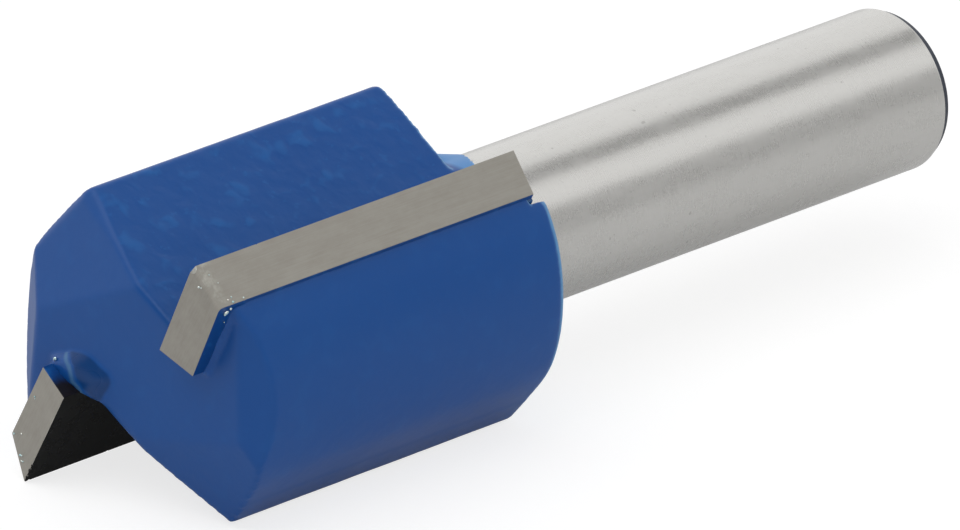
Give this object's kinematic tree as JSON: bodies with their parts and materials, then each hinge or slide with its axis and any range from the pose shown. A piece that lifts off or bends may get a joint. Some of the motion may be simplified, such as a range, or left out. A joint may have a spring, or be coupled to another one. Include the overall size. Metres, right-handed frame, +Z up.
{
  "type": "router bit",
  "caption": "Straight router bit: a painted steel head with brazed carbide cutting tips on a plain ground steel shank.",
  "frame": {"origin": "on the surface the bit lies on, under the middle of its length and width", "axes": "+X along the tool's axis from the cutting end towards the shank end, +Z up, +Y across"},
  "size_m": [0.0516, 0.0168, 0.014],
  "materials": {
    "tool_steel": "glossy blue lacquer on the head and neck, bare ground steel on the shank",
    "carbide": "matte warm grey, finely ground on the rake faces and the relief faces",
    "braze": "silver braze under a thin film of the head's lacquer"
  },
  "bodies": {
    "root": {"cutter_body": "tool_steel", "cutting_tip_1": "carbide", "cutting_tip_2": "carbide", "braze_1": "braze", "braze_2": "braze"}
  },
  "joints": []
}
